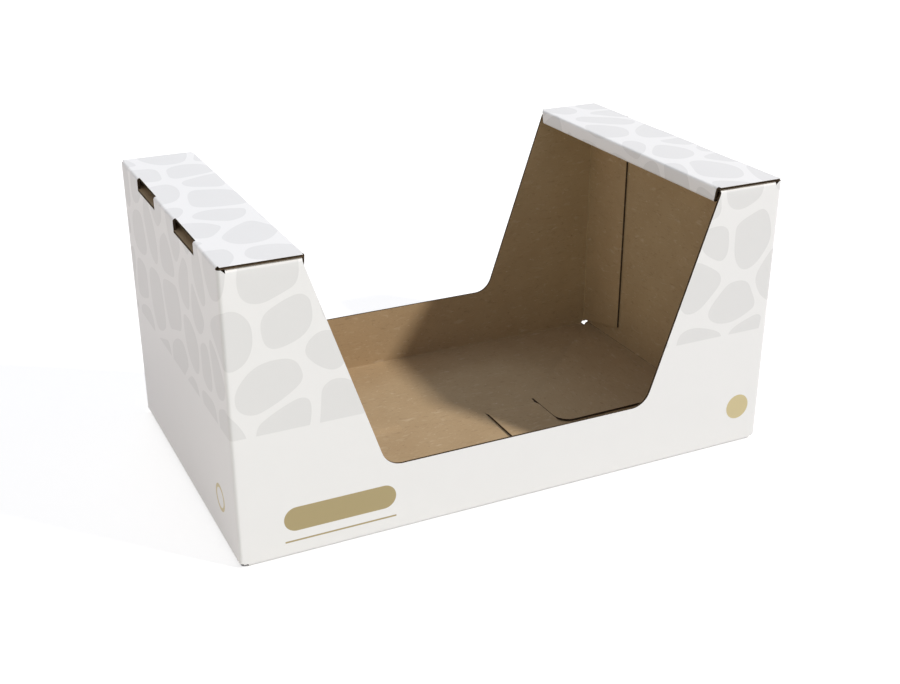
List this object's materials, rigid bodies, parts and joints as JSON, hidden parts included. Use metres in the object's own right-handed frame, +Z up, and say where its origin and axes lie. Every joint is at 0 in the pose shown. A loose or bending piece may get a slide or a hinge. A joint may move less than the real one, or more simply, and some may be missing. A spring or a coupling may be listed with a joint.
{
  "type": "corrugated tray",
  "caption": "Die-cut corrugated display tray with low cut-outs front and back, hollow folded beams along the top of its ends and a crash-lock bottom.",
  "frame": {"origin": "middle of the underside", "axes": "+X along the length, to the right seen from the front; +Y to the back; +Z up"},
  "size_m": [0.396, 0.24, 0.2],
  "materials": {
    "board": "white printed liner outside, plain kraft inside"
  },
  "bodies": {
    "root": {"tray": "board"}
  },
  "joints": []
}
